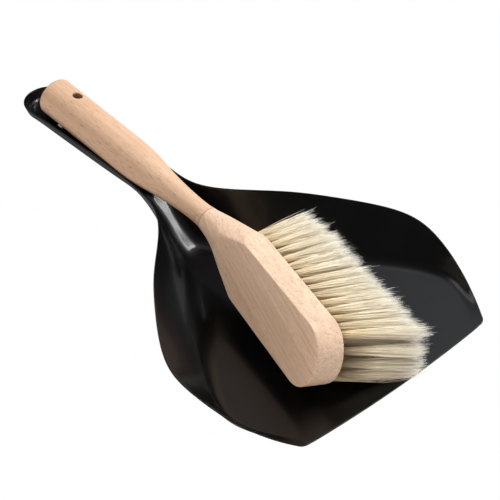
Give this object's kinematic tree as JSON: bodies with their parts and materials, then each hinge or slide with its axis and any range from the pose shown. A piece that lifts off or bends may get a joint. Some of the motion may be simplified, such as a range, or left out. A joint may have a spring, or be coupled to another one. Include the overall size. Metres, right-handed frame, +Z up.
{
  "type": "dust pan and brush set",
  "caption": "Black pressed-steel dust pan with a trough handle, holding a beech hand brush with pale bristles that lifts out.",
  "frame": {"origin": "middle of the flat underside of the pan's floor, on its centre plane, 122 mm behind the lip", "axes": "+Z up, +Y from the lip towards the trough handle, +X to the right for someone at the lip who faces the handle, so the bristles point to +X"},
  "size_m": [0.2312, 0.3718, 0.0745],
  "materials": {
    "pan_black": "satin black stove enamel",
    "beech": "fine-sanded and oiled beech with short dark flecks",
    "bristle": "pale stiff plant fibre with frayed tips",
    "bright_steel": "bright plated steel"
  },
  "bodies": {
    "pan": {"dust_pan": "pan_black"},
    "brush": {"brush_handle": "beech", "brush_head": "beech", "tuft_row_1": "bristle", "tuft_row_2": "bristle", "tuft_row_3": "bristle", "tuft_row_4": "bristle", "tuft_row_5": "bristle", "neck_dowel": "beech", "magnet_stud": "bright_steel", "tuft_anchors": "bright_steel"}
  },
  "joints": [
    {"name": "brush_lift", "type": "slide", "parent": "pan", "child": "brush", "axis": [0, 0, 1], "range_m": [0, 0.15]}
  ]
}
